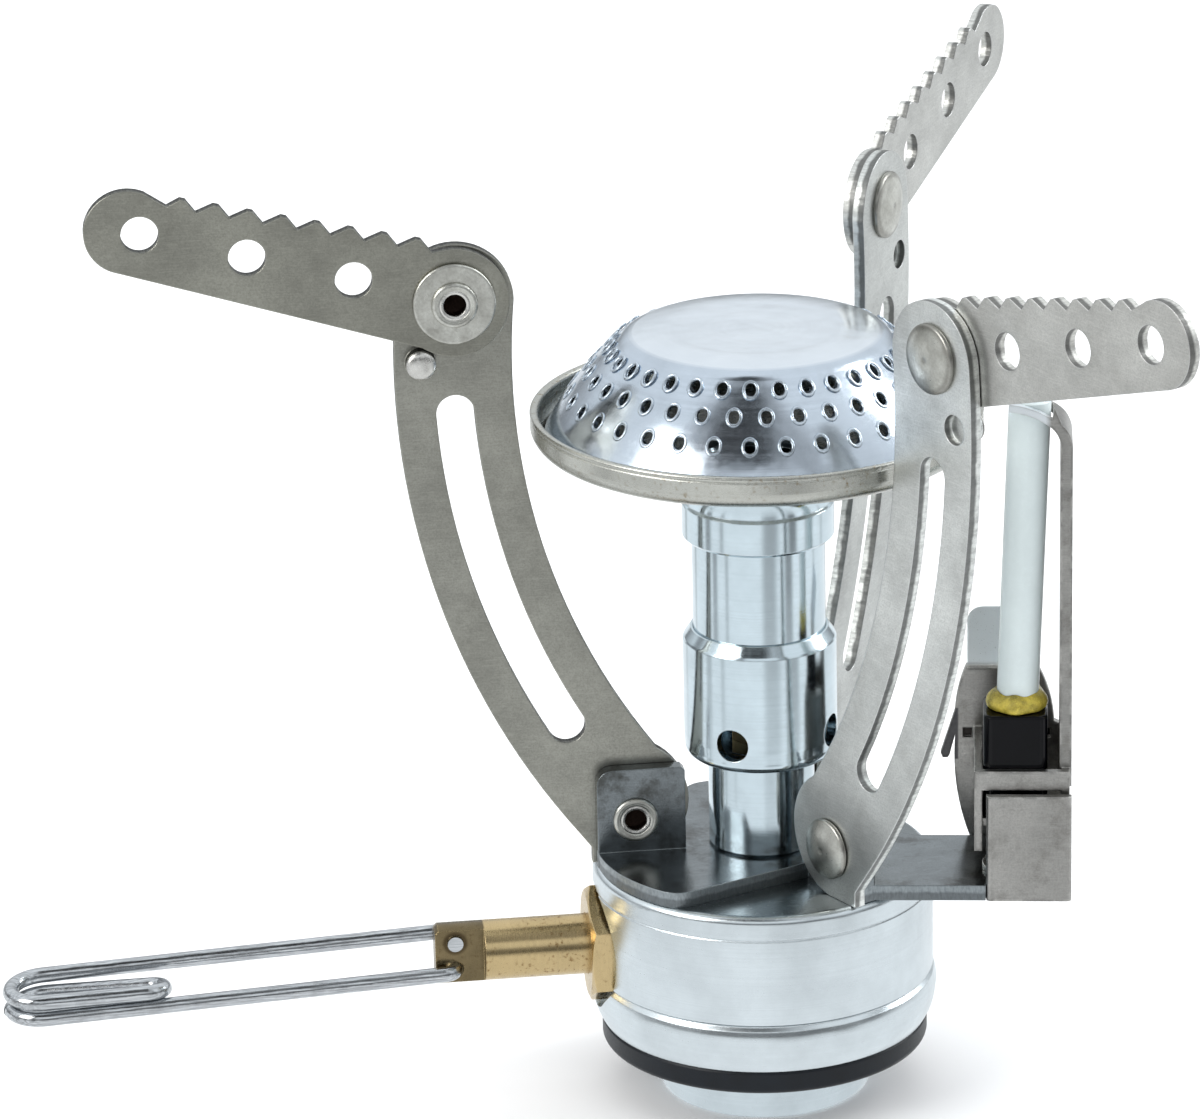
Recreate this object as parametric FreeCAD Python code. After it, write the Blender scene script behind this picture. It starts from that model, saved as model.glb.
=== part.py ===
import FreeCAD, Part
import math
import os

Vector = FreeCAD.Vector
os.makedirs("parts", exist_ok=True)

# A three-armed camping stove that screws on top of a gas canister.
# Millimetres. +Z is up and the burner's axis is the Z axis. The origin is the mouth of the canister
# thread. The control spindle and one pot arm point along -X; the igniter stands near +X.

# ---- driving dimensions -------------------------------------------------------------------------
# valve body and canister coupling
BODY_R = 17.5
BODY_BOTTOM = 7.9
BODY_TOP = 24.9
BAND_Z = 13.0
NOSE_R = 10.8
RING_R = 16.7
RING_BOTTOM = 5.4
THREAD_R = 5.15
THREAD_LENGTH = 6.0
HUB_R = 7.5
HUB_TOP = 12.0
SEAL_BORE_R = 5.6

# control spindle, along -X at this height
SPINDLE_Z = 16.2
SPINDLE_R = 3.1
SPINDLE_TIP = 33.9
SPINDLE_ROOT = 12.0
RUNNING_GAP = 0.05
GLAND_R = 4.2
GLAND_ROOT = 10.0
GLAND_FACE = 16.0
HEX_ACROSS = 11.0
HEX_THICK = 2.3
FLAT_LENGTH = 5.0
FLAT_THICK = 2.6
WIRE_R = 0.8
PIN_X = 31.85
PIN_RISE = 1.45
NEEDLE_R = 1.9
NEEDLE_BORE = 2.0

# burner column
NECK_R = 5.4
SHANK_R = 4.0
NECK_TOP = 37.6
SLEEVE_R = 7.77
SLEEVE_BOTTOM = 36.4
SLEEVE_TOP = 49.9
AIR_HOLE_R = 1.7
AIR_HOLE_Z = 39.4
TUBE_R = 6.7
TUBE_BORE = 5.6
TUBE_BOTTOM = 44.0
TUBE_TOP = 66.9
COLLAR_R = 7.65
COLLAR_BOTTOM = 59.5
PAN_BOTTOM = 66.0
PAN_R = 22.6
PAN_RIM_TOP = 73.1
PORTS_PER_ROW = 33
PORT_R = 0.6
PORT_ROWS = ((14.65, 79.4, 0.0), (16.65, 77.25, 0.5), (18.6, 74.85, 0.0))
PORT_PHASE = 9.1

# pot arms: distances u from the axis and heights z, in the vertical plane of each arm
ARM_ANGLES = (180.0, -61.2, 58.1)
PLATE_THICK = 1.6
PLATE_R = 17.0
LOBE_SWEEP = 52.0
TAB_IN = 8.0
TAB_OUT = 17.0
TAB_TOP = 35.4
TAB_V = (-0.2, 1.3)
ARM_V = (-1.5, -0.3)
TOOTHED_V = (-0.2, 1.0)
WASHER_V = (1.1, 1.6)
BASE_PIVOT = (13.1, 30.0)
TOP_PIVOT = (30.0, 85.7)
BOSS = (33.4, 79.4)
BOSS_R = 1.5
ARC_CENTRE = (-45.6, 78.5)
ARM_OUTER_R = 81.6
ARM_INNER_R = 69.9
SLOT_MID_R = 75.8
SLOT_R = 1.9
SLOT_ANGLES = (-3.5, -30.5)
HEAD_R = 5.6
FOOT_R = 5.08
RIVET_R = 2.0
HEEL_U = 17.4
TOOTHED_ANGLE = 15.6
TOOTHED_REACH = 37.2
KNUCKLE_R = 5.5
TIP_R = 4.15
TOOTH_COUNT = 8
TOOTH_PITCH = 3.35
TOOTH_DEPTH = 1.0
TOOTH_START = 4.95
ARM_HOLE_R = 1.85
ARM_HOLES = (10.2, 20.95, 31.7)

# igniter: distances r along its own direction, t across it, and heights z
IGNITER_ANGLE = -10.0
SHEET = 0.8
STRIP_R = (11.2, 31.3)
STRIP_T = (-12.4, 1.0)
HOUSING_R = (22.8, 31.3)
HOUSING_TOP = 36.1
FLANGE_END = -10.7
SADDLE_R = (21.6, 31.1)
SADDLE_T = (-11.3, 2.1)
LIP_Z = (36.3, 38.3)
SHELF_Z = 33.0
TAB_LENGTH = 6.5
NOTCH_DEPTH = 0.45
MODULE_R = (22.5, 28.9)
MODULE_T = (-10.4, -4.0)
MODULE_TOP = 43.8
MODULE_AXIS = (25.7, -7.2)
TUBE_LEAN = 2.2
TUBE_FOOT = 25.9
CERAMIC_R = 2.1
CERAMIC_TOP = 76.2
GUARD_R = (30.1, 31.3)
GUARD_T = (-10.1, -4.4)
PLUNGER_R = 1.95


# ---- helpers ------------------------------------------------------------------------------------
def outline(start, *steps):
    """Closed wire in the XZ plane: a step is a point, or a (middle, end) pair for an arc."""
    def place(point):
        return Vector(point[0], 0, point[1])

    edges = []
    here = start
    for step in steps + (start,):
        if isinstance(step[0], tuple):
            edges.append(Part.Arc(place(here), place(step[0]), place(step[1])).toShape())
            here = step[1]
        elif step != here:
            edges.append(Part.LineSegment(place(here), place(step)).toShape())
            here = step
    return Part.Wire(edges)


def lathe(start, *steps):
    """Solid turned about Z from an outline of (radius, height) points."""
    return Part.Face(outline(start, *steps)).revolve(Vector(0, 0, 0), Vector(0, 0, 1), 360)


def plate(wire, low, high):
    """Sheet cut to an outline in the XZ plane, between two distances along +Y."""
    face = Part.Face(wire)
    face.translate(Vector(0, low, 0))
    return face.extrude(Vector(0, high - low, 0))


def block(x, y, z):
    """Box between two limits on each axis."""
    corner = Vector(x[0], y[0], z[0])
    return Part.makeBox(x[1] - x[0], y[1] - y[0], z[1] - z[0], corner)


def rod(radius, length, base, direction):
    """Round bar from a base point along a direction."""
    return Part.makeCylinder(radius, length, Vector(*base), Vector(*direction))


def turned(shape, angle):
    """Copy of a shape turned about the burner's axis."""
    copy = shape.copy()
    copy.rotate(Vector(0, 0, 0), Vector(0, 0, 1), angle)
    return copy


def along_x(shape):
    """Copy of a lathe shape laid along -X on the spindle's axis: height becomes distance out."""
    copy = shape.copy()
    copy.rotate(Vector(0, 0, 0), Vector(0, 1, 0), -90)
    copy.translate(Vector(0, 0, SPINDLE_Z))
    return copy


def across(shape, pivot):
    """Copy of a lathe shape laid along +Y at a pivot in the arm's plane."""
    copy = shape.copy()
    copy.rotate(Vector(0, 0, 0), Vector(1, 0, 0), -90)
    copy.translate(Vector(pivot[0], 0, pivot[1]))
    return copy


def igniter_place(shape):
    """Copy of a shape turned from the igniter's own r, t axes to the stove's."""
    return turned(shape, IGNITER_ANGLE)


def polar(centre, radius, angle):
    """Point of a circle in the XZ plane."""
    a = math.radians(angle)
    return (centre[0] + radius * math.cos(a), centre[1] + radius * math.sin(a))


def round_edges(solid, radius, chosen):
    """Fillet the edges whose midpoint the test picks."""
    edges = [e for e in solid.Edges if chosen(e.CenterOfMass, e)]
    return solid.makeFillet(radius, edges)


def is_upright(edge):
    """True for a straight edge parallel to Z."""
    ends = [v.Point for v in edge.Vertexes]
    return len(ends) == 2 and abs(abs((ends[1] - ends[0]).normalize().z) - 1) < 1e-6


def bent_wire(radius, points, bends):
    """Round wire along straight runs, each inner corner rounded by its own bend radius."""
    nodes = [Vector(*p) for p in points]
    edges = []
    here = nodes[0]
    for i, bend in enumerate(bends, start=1):
        back = (nodes[i - 1] - nodes[i]).normalize()
        ahead = (nodes[i + 1] - nodes[i]).normalize()
        half = back.getAngle(ahead) / 2
        reach = bend / math.tan(half)
        first = nodes[i] + back * reach
        last = nodes[i] + ahead * reach
        middle_line = (back + ahead).normalize()
        middle = nodes[i] + middle_line * (bend / math.sin(half) - bend)
        edges.append(Part.LineSegment(here, first).toShape())
        edges.append(Part.Arc(first, middle, last).toShape())
        here = last
    edges.append(Part.LineSegment(here, nodes[-1]).toShape())
    path = Part.Wire(edges)
    start = (nodes[1] - nodes[0]).normalize()
    section = Part.Wire(Part.makeCircle(radius, nodes[0], start))
    return path.makePipeShell([section], True, True)


# ---- valve body and canister coupling -------------------------------------------------------------
def make_valve_body():
    """Turned body with a band under a fine groove, the gas ways and the spindle's seat."""
    body = lathe(
        (0, BODY_BOTTOM),
        (16.7, BODY_BOTTOM),
        ((17.25, 9.0), (17.6, 10.6)),
        ((17.66, 11.8), (17.45, 12.6)),
        (17.1, BAND_Z),
        (17.35, BAND_Z + 0.3),
        (17.4, 22.3),
        (17.3, 22.45),
        (17.4, 22.6),
        (17.35, 24.0),
        ((17.1, 24.65), (16.5, BODY_TOP)),
        (0, BODY_TOP),
    )
    hub = rod(HUB_R, HUB_TOP - BODY_BOTTOM, (0, 0, BODY_BOTTOM), (0, 0, 1))
    spot_face = rod(6.6, 3, (-GLAND_FACE, 0, SPINDLE_Z), (-1, 0, 0))
    gland = rod(GLAND_R, 7.1, (-GLAND_ROOT, 0, SPINDLE_Z), (-1, 0, 0))
    needle_way = rod(NEEDLE_BORE, 11, (-1.5, 0, SPINDLE_Z), (-1, 0, 0))
    seat = rod(0.8, 4, (1.0, 0, SPINDLE_Z), (-1, 0, 0))
    inlet = rod(1.0, SPINDLE_Z - HUB_TOP, (-5.5, 0, HUB_TOP), (0, 0, 1))
    outlet = rod(0.8, 6, (0.2, 0, SPINDLE_Z), (0, 0, 1))
    socket = rod(SHANK_R, 5.5, (0, 0, BODY_TOP - 5.4), (0, 0, 1))
    return body.cut([hub, spot_face, gland, needle_way, seat, inlet, outlet, socket])


def make_thread_collar():
    """Plated steel nose with the canister thread, and the hub that holds it in the body."""
    return lathe(
        (THREAD_R, 0),
        (NOSE_R - 0.7, 0),
        ((NOSE_R - 0.2, 0.2), (NOSE_R, 0.7)),
        (NOSE_R, BODY_BOTTOM),
        (HUB_R, BODY_BOTTOM),
        (HUB_R, HUB_TOP),
        (SEAL_BORE_R, HUB_TOP),
        (SEAL_BORE_R, THREAD_LENGTH + 0.3),
        (THREAD_R, THREAD_LENGTH),
    )


def make_base_ring():
    """Rubber ring that bears on the canister's shoulder."""
    return lathe(
        (NOSE_R + 0.05, RING_BOTTOM),
        (RING_R - 0.6, RING_BOTTOM),
        ((RING_R - 0.18, RING_BOTTOM + 0.18), (RING_R, RING_BOTTOM + 0.6)),
        (RING_R, BODY_BOTTOM - 0.3),
        (RING_R - 0.2, BODY_BOTTOM),
        (NOSE_R + 0.05, BODY_BOTTOM),
    )


def make_inlet_gasket():
    """Flat nitrile ring that seals on the canister's valve."""
    return lathe((2.6, 8.6), (5.5, 8.6), (5.5, 10.2), (2.6, 10.2))


def make_depressor_pin():
    """Hollow pin with a flange; it opens the canister's valve."""
    return lathe(
        (0.5, 6.3), (1.1, 6.3), (1.3, 6.6), (1.3, 10.3), (5.5, 10.3), (5.5, 11.3), (0.5, 11.3)
    )


def make_inlet_filter():
    """Sintered disc over the pin's flange."""
    return rod(5.4, 0.6, (0, 0, 11.35), (0, 0, 1))


def make_gland_nut():
    """Brass gland: chamfered hexagon outside, plain shank in the body, running bore."""
    corner = HEX_ACROSS / math.sqrt(3)
    points = [Vector(*polar((0, 0), corner, 60 * i), 0) for i in range(7)]
    hexagon = Part.Face(Part.makePolygon(points)).extrude(Vector(0, 0, HEX_THICK))
    rim = corner + 0.1
    crown = lathe((0, 0), (rim, 0), (rim, HEX_THICK - 0.5), (5.3, HEX_THICK), (0, HEX_THICK))
    head = hexagon.common(crown)
    head.translate(Vector(0, 0, GLAND_FACE))
    shank = rod(GLAND_R, GLAND_FACE - GLAND_ROOT, (0, 0, GLAND_ROOT), (0, 0, 1))
    bore = rod(SPINDLE_R + RUNNING_GAP, 12, (0, 0, 9), (0, 0, 1))
    return along_x(head.fuse(shank).removeSplitter().cut(bore))


# ---- control spindle -------------------------------------------------------------------------------
def make_spindle():
    """Brass spindle with a milled tongue, two offset pin holes and a seal groove."""
    bar = lathe(
        (0, SPINDLE_ROOT),
        (SPINDLE_R - 0.3, SPINDLE_ROOT),
        (SPINDLE_R, SPINDLE_ROOT + 0.3),
        (SPINDLE_R, 13.6),
        (2.3, 13.6),
        (2.3, 14.6),
        (SPINDLE_R, 14.6),
        (SPINDLE_R, SPINDLE_TIP - 0.35),
        (SPINDLE_R - 0.35, SPINDLE_TIP),
        (0, SPINDLE_TIP),
    )
    spindle = along_x(bar)
    reach = (-SPINDLE_TIP - 1, -SPINDLE_TIP + FLAT_LENGTH)
    height = (SPINDLE_Z - 4, SPINDLE_Z + 4)
    for side in (-1, 1):
        depth = sorted((side * FLAT_THICK / 2, side * 4))
        spindle = spindle.cut(block(reach, depth, height))
        pin_hole = rod(WIRE_R + 0.02, 8, (-PIN_X, -4, SPINDLE_Z + side * PIN_RISE), (0, 1, 0))
        spindle = spindle.cut(pin_hole)
    return spindle


def make_handle_wire():
    """Steel wire: one pinned end, a turn and a half at the far end, the other pinned end."""
    top = SPINDLE_Z + PIN_RISE
    low = SPINDLE_Z - PIN_RISE
    side = FLAT_THICK / 2 + WIRE_R + 0.1
    end_y = FLAT_THICK / 2 + 0.35
    loop = 3.4
    far = -77.1
    inner = -61.6
    points = (
        (-PIN_X, -end_y, top),
        (-PIN_X, side, top),
        (far, loop, 15.0),
        (far, -loop, 14.9),
        (inner, -3.2, 15.3),
        (inner, 0.3, 14.6),
        (far, loop, 13.2),
        (far, -loop, 13.1),
        (-PIN_X, -side, low),
        (-PIN_X, end_y, low),
    )
    bends = (1.2, 3.3, 3.3, 1.7, 1.7, 3.3, 3.3, 1.2)
    return bent_wire(WIRE_R, points, bends)


def make_spindle_seal():
    """Rubber ring in the spindle's groove."""
    ring = Part.makeTorus(2.72, 0.4, Vector(0, 0, 14.1))
    return along_x(ring)


def make_needle():
    """Steel needle on the spindle's inner end, closed on its seat."""
    return along_x(lathe((0, 1.6), (0.5, 1.6), (1.0, 4.0), (NEEDLE_R, 4.6), (NEEDLE_R, 11.9), (0, 11.9)))


# ---- burner column ------------------------------------------------------------------------------------
def make_jet_holder():
    """Neck that clamps the bracket on the body and carries the jet."""
    return lathe(
        (0.8, BODY_TOP - 5.3),
        (SHANK_R, BODY_TOP - 5.3),
        (SHANK_R, BODY_TOP + PLATE_THICK),
        (NECK_R - 0.3, BODY_TOP + PLATE_THICK),
        (NECK_R, BODY_TOP + PLATE_THICK + 0.3),
        (NECK_R, NECK_TOP - 0.2),
        (NECK_R - 0.2, NECK_TOP),
        (2.0, NECK_TOP),
        (2.0, NECK_TOP - 4.5),
        (0.8, NECK_TOP - 5.2),
    )


def make_jet():
    """Brass jet: screwed shank, small hexagon and a drilled nose."""
    corner = 2.9
    points = [Vector(*polar((0, 0), corner, 60 * i), NECK_TOP) for i in range(7)]
    hexagon = Part.Face(Part.makePolygon(points)).extrude(Vector(0, 0, 1.6))
    shank = rod(2.0, 4.0, (0, 0, NECK_TOP - 4.0), (0, 0, 1))
    nose = Part.makeCone(2.1, 1.1, 1.4, Vector(0, 0, NECK_TOP + 1.6))
    way = rod(0.7, 6.2, (0, 0, NECK_TOP - 4.0), (0, 0, 1))
    orifice = rod(0.18, 2.0, (0, 0, NECK_TOP + 1.8), (0, 0, 1))
    return shank.fuse([hexagon, nose]).cut([way, orifice])


def make_mixing_sleeve():
    """Sleeve with four air holes round the jet."""
    sleeve = lathe(
        (NECK_R + 0.02, SLEEVE_BOTTOM),
        (SLEEVE_R - 0.75, SLEEVE_BOTTOM),
        ((SLEEVE_R - 0.25, SLEEVE_BOTTOM + 0.35), (SLEEVE_R - 0.08, SLEEVE_BOTTOM + 1.1)),
        (SLEEVE_R, SLEEVE_BOTTOM + 2.2),
        (SLEEVE_R, SLEEVE_TOP - 1.25),
        (SLEEVE_R - 0.12, SLEEVE_TOP - 1.0),
        (TUBE_R + 0.25, SLEEVE_TOP),
        (TUBE_R + 0.02, SLEEVE_TOP),
        (TUBE_R + 0.02, NECK_TOP),
        (NECK_R + 0.02, NECK_TOP),
    )
    for angle in (-120, -30, 60, 150):
        hole = rod(AIR_HOLE_R, 10, (0, 0, AIR_HOLE_Z), (1, 0, 0))
        sleeve = sleeve.cut(turned(hole, angle))
    return sleeve


def make_burner_tube():
    """Mixing tube, rolled over inside the pan."""
    return lathe(
        (TUBE_BORE, TUBE_BOTTOM),
        (TUBE_R, TUBE_BOTTOM),
        (TUBE_R, PAN_BOTTOM + 0.65),
        (TUBE_R + 0.9, PAN_BOTTOM + 0.65),
        ((TUBE_R + 1.1, PAN_BOTTOM + 0.95), (TUBE_R + 0.7, TUBE_TOP + 0.4)),
        (TUBE_BORE + 0.4, TUBE_TOP + 0.4),
        (TUBE_BORE, TUBE_TOP),
    )


def make_tube_collar():
    """Collar under the pan, with a hollow flare at its top."""
    return lathe(
        (TUBE_R + 0.02, COLLAR_BOTTOM),
        (COLLAR_R - 0.3, COLLAR_BOTTOM),
        (COLLAR_R, COLLAR_BOTTOM + 0.3),
        (COLLAR_R, 63.1),
        (COLLAR_R - 0.25, 63.35),
        ((COLLAR_R - 0.1, 64.6), (COLLAR_R + 0.6, PAN_BOTTOM - 0.3)),
        (COLLAR_R + 0.6, PAN_BOTTOM),
        (TUBE_R + 0.02, PAN_BOTTOM),
    )


def make_burner_pan():
    """Pressed steel dish with an upright band and a rolled bead at its rim."""
    band = 70.4
    return lathe(
        (TUBE_R + 0.02, PAN_BOTTOM),
        (9.4, PAN_BOTTOM),
        ((10.2, PAN_BOTTOM + 0.1), (10.9, PAN_BOTTOM + 0.35)),
        (20.8, 69.55),
        ((22.15, band), (PAN_R, 71.3)),
        (PAN_R - 0.02, 72.45),
        (PAN_R - 0.12, 72.55),
        ((PAN_R + 0.03, 72.85), (PAN_R - 0.35, PAN_RIM_TOP)),
        ((PAN_R - 0.75, 72.95), (PAN_R - 0.8, 72.5)),
        (PAN_R - 0.75, 71.5),
        ((PAN_R - 0.95, 70.95), (20.55, 70.15)),
        (10.65, 66.95),
        ((10.1, 66.7), (9.4, PAN_BOTTOM + 0.6)),
        (TUBE_R + 0.02, PAN_BOTTOM + 0.6),
    )


def make_burner_cap():
    """Pressed cap: flat crown, bowed skirt, and three staggered rows of flame ports."""
    cap = lathe(
        (0, 81.1),
        (8.0, 81.1),
        ((10.4, 81.05), (12.3, 80.85)),
        ((13.1, 80.55), (13.7, 80.05)),
        ((17.95, 75.75), (21.15, 70.9)),
        (20.65, 70.65),
        ((17.55, 75.4), (13.35, 79.6)),
        ((12.8, 80.1), (12.2, 80.3)),
        ((10.4, 80.5), (8.0, 80.55)),
        (0, 80.55),
    )
    drills = []
    for radius, height, shift in PORT_ROWS:
        for i in range(PORTS_PER_ROW):
            hole = rod(PORT_R, 4, (radius - 2, 0, height - 0.4), (0.98, 0, 0.2))
            drills.append(turned(hole, PORT_PHASE + (i + shift) * 360 / PORTS_PER_ROW))
    return cap.cut(drills)


# ---- bracket and pot arms, each made in the plane of +X, with v along +Y ----------------------------
def lobe_corner(angle):
    """Outer corner of a bracket lobe, at the end of its arc."""
    a = math.radians(angle + LOBE_SWEEP)
    return Vector(PLATE_R * math.cos(a), PLATE_R * math.sin(a), BODY_TOP)


def in_arm(angle, u, v, z):
    """Point of an arm's own frame, in the stove's frame."""
    a = math.radians(angle)
    return Vector(u * math.cos(a) - v * math.sin(a), u * math.sin(a) + v * math.cos(a), z)


def make_base_bracket():
    """Three-lobed plate with an upright tab at each lobe, and the strip to the igniter."""
    edges = []
    start_v = TAB_V[0]
    for angle, following_angle in zip(ARM_ANGLES, ARM_ANGLES[1:] + ARM_ANGLES[:1]):
        inner = in_arm(angle, TAB_IN, start_v, BODY_TOP)
        outer = in_arm(angle, math.sqrt(PLATE_R ** 2 - start_v ** 2), start_v, BODY_TOP)
        middle = in_arm(angle + LOBE_SWEEP / 2, PLATE_R, 0, BODY_TOP)
        corner = lobe_corner(angle)
        following = in_arm(following_angle, TAB_IN, start_v, BODY_TOP)
        edges.append(Part.LineSegment(inner, outer).toShape())
        edges.append(Part.Arc(outer, middle, corner).toShape())
        edges.append(Part.LineSegment(corner, following).toShape())
    bracket = Part.Face(Part.Wire(edges)).extrude(Vector(0, 0, PLATE_THICK))
    corners = [lobe_corner(angle) for angle in ARM_ANGLES]
    bracket = round_edges(
        bracket,
        2.5,
        lambda m, e: is_upright(e) and min(math.hypot(m.x - c.x, m.y - c.y) for c in corners) < 0.1,
    )
    strip = block(STRIP_R, STRIP_T, (BODY_TOP, BODY_TOP + PLATE_THICK))
    housing_seat = block((HOUSING_R[0] - 0.05, 40), (-13, STRIP_T[0] + 0.6), (BODY_TOP - 1, BODY_TOP + 3))
    strip = strip.cut(housing_seat)
    bracket = bracket.fuse(igniter_place(strip)).removeSplitter()
    for angle in ARM_ANGLES:
        tab_outline = outline(
            (TAB_IN, BODY_TOP),
            (TAB_OUT, BODY_TOP),
            (TAB_OUT, TAB_TOP - 1.6),
            ((TAB_OUT - 0.47, TAB_TOP - 0.47), (TAB_OUT - 1.6, TAB_TOP)),
            (TAB_IN + 0.4, TAB_TOP),
            (TAB_IN, TAB_TOP - 0.4),
        )
        tab = plate(tab_outline, *TAB_V)
        hole = rod(RIVET_R, 6, (BASE_PIVOT[0], -3, BASE_PIVOT[1]), (0, 1, 0))
        bracket = bracket.fuse(turned(tab, angle)).cut(turned(hole, angle))
    bracket = bracket.removeSplitter()
    return bracket.cut(rod(SHANK_R + 0.02, 5, (0, 0, BODY_TOP - 1), (0, 0, 1)))


def make_lower_arm():
    """Curved stamped arm: round head, long slot, stop boss, and a heel that stands on the body."""
    foot_z = BASE_PIVOT[1] - FOOT_R
    head_out = polar(TOP_PIVOT, HEAD_R, 2)
    head_in = polar(TOP_PIVOT, HEAD_R, 182)
    arc_out = math.degrees(math.atan2(head_out[1] - ARC_CENTRE[1], head_out[0] - ARC_CENTRE[0]))
    arc_in = math.degrees(math.atan2(head_in[1] - ARC_CENTRE[1], head_in[0] - ARC_CENTRE[0]))
    outer_low = polar(ARC_CENTRE, ARM_OUTER_R, -38.1)
    inner_low = polar(ARC_CENTRE, ARM_INNER_R, -36.4)
    arm_wire = outline(
        (HEEL_U, foot_z),
        (HEEL_U, foot_z + 1.6),
        outer_low,
        (polar(ARC_CENTRE, ARM_OUTER_R, -18), polar(ARC_CENTRE, ARM_OUTER_R, arc_out)),
        (polar(TOP_PIVOT, HEAD_R, 92), polar(ARC_CENTRE, ARM_INNER_R, arc_in)),
        (polar(ARC_CENTRE, ARM_INNER_R, -16), inner_low),
        (polar(BASE_PIVOT, FOOT_R, 205), (BASE_PIVOT[0], foot_z)),
    )
    slot_in = SLOT_MID_R - SLOT_R
    slot_out = SLOT_MID_R + SLOT_R
    top, low = SLOT_ANGLES
    middle = (top + low) / 2
    slot_wire = outline(
        polar(ARC_CENTRE, slot_in, top),
        (polar(polar(ARC_CENTRE, SLOT_MID_R, top), SLOT_R, 90 + top), polar(ARC_CENTRE, slot_out, top)),
        (polar(ARC_CENTRE, slot_out, middle), polar(ARC_CENTRE, slot_out, low)),
        (polar(polar(ARC_CENTRE, SLOT_MID_R, low), SLOT_R, low - 90), polar(ARC_CENTRE, slot_in, low)),
        (polar(ARC_CENTRE, slot_in, middle), polar(ARC_CENTRE, slot_in, top)),
    )
    arm = plate(arm_wire, *ARM_V)
    boss = rod(BOSS_R, 1.15, (BOSS[0], ARM_V[1], BOSS[1]), (0, 1, 0))
    recess = rod(BOSS_R, 0.85, (BOSS[0], ARM_V[0], BOSS[1]), (0, 1, 0))
    base_hole = rod(RIVET_R + RUNNING_GAP, 6, (BASE_PIVOT[0], -3, BASE_PIVOT[1]), (0, 1, 0))
    top_hole = rod(RIVET_R, 6, (TOP_PIVOT[0], -3, TOP_PIVOT[1]), (0, 1, 0))
    return arm.cut([plate(slot_wire, -3, 3), recess, base_hole, top_hole]).fuse(boss)


def make_toothed_arm():
    """Tapered pot support with eight teeth and three holes, made level and then tilted."""
    points = []
    last = TOOTH_START + (TOOTH_COUNT - 1) * TOOTH_PITCH
    fall = 0.045
    for i in range(TOOTH_COUNT):
        xi = TOOTH_START + i * TOOTH_PITCH
        peak = KNUCKLE_R - 0.01 - fall * (xi - TOOTH_START)
        points += [(xi - TOOTH_PITCH / 2 + 0.12, peak - TOOTH_DEPTH), (xi - 0.28, peak), (xi + 0.28, peak)]
    end_valley = (last + TOOTH_PITCH / 2 - 0.3, KNUCKLE_R - fall * (last - TOOTH_START) - TOOTH_DEPTH)
    tip = (TOOTHED_REACH - TIP_R, 0.05)
    steps = [(TOOTHED_REACH - 5.0, tip[1] + TIP_R + 0.05)]
    steps += [(polar(tip, TIP_R, 48), polar(tip, TIP_R, 0))]
    steps += [(polar(tip, TIP_R, -48), (TOOTHED_REACH - 4.4, tip[1] - TIP_R))]
    steps += [polar((0, 0), KNUCKLE_R, -70), (polar((0, 0), KNUCKLE_R, 175), polar((0, 0), KNUCKLE_R, 65))]
    wire = outline(points[0], *points[1:], end_valley, *steps)
    arm = plate(wire, *TOOTHED_V)
    holes = [rod(ARM_HOLE_R, 6, (xi, -3, 0.15), (0, 1, 0)) for xi in ARM_HOLES]
    holes.append(rod(RIVET_R + RUNNING_GAP, 6, (0, -3, 0), (0, 1, 0)))
    arm = arm.cut(holes)
    arm.rotate(Vector(0, 0, 0), Vector(0, 1, 0), -TOOTHED_ANGLE)
    arm.translate(Vector(TOP_PIVOT[0], 0, TOP_PIVOT[1]))
    return arm


def make_rivet(pivot, head_r, under, tail_v):
    """Semi-tubular rivet: domed head on one side, hollow rolled end on the other."""
    rivet = lathe(
        (0, under - 0.95),
        ((head_r * 0.6, under - 0.82), (head_r - 0.25, under - 0.5)),
        ((head_r, under - 0.3), (head_r - 0.05, under)),
        (RIVET_R, under),
        (RIVET_R, tail_v),
        (RIVET_R + 0.3, tail_v),
        ((RIVET_R + 0.2, tail_v + 0.35), (RIVET_R - 0.2, tail_v + 0.4)),
        ((RIVET_R - 0.5, tail_v + 0.3), (1.4, tail_v)),
        (1.4, -0.4),
        (0, -0.9),
    )
    return across(rivet, pivot)


def make_washer():
    """Steel washer under the rolled end of the pivot rivet."""
    low, high = WASHER_V
    washer = lathe(
        (RIVET_R, low), (3.9, low), ((4.12, (low + high) / 2), (3.9, high)), (RIVET_R, high)
    )
    return across(washer, TOP_PIVOT)


# ---- igniter, made with r along +X and t along +Y -------------------------------------------------
def make_igniter_housing():
    """Bent sheet at the strip's end: a tall front wall, a short left flange and a low right wall."""
    front_t = (STRIP_T[0] - 0.2, STRIP_T[0] + 0.6)
    front = block(HOUSING_R, front_t, (BODY_TOP, HOUSING_TOP))
    front = round_edges(front, 0.5, lambda m, e: is_upright(e) and m.y < front_t[0] + 0.1)
    wall_z = (BODY_TOP + PLATE_THICK, 28.6)
    flange = block((HOUSING_R[0], HOUSING_R[0] + SHEET), (front_t[1] - 0.1, FLANGE_END), wall_z)
    wall = block((HOUSING_R[1] - SHEET, HOUSING_R[1]), (front_t[1] - 0.1, STRIP_T[1]), wall_z)
    return igniter_place(front.fuse([flange, wall]).removeSplitter())


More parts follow.
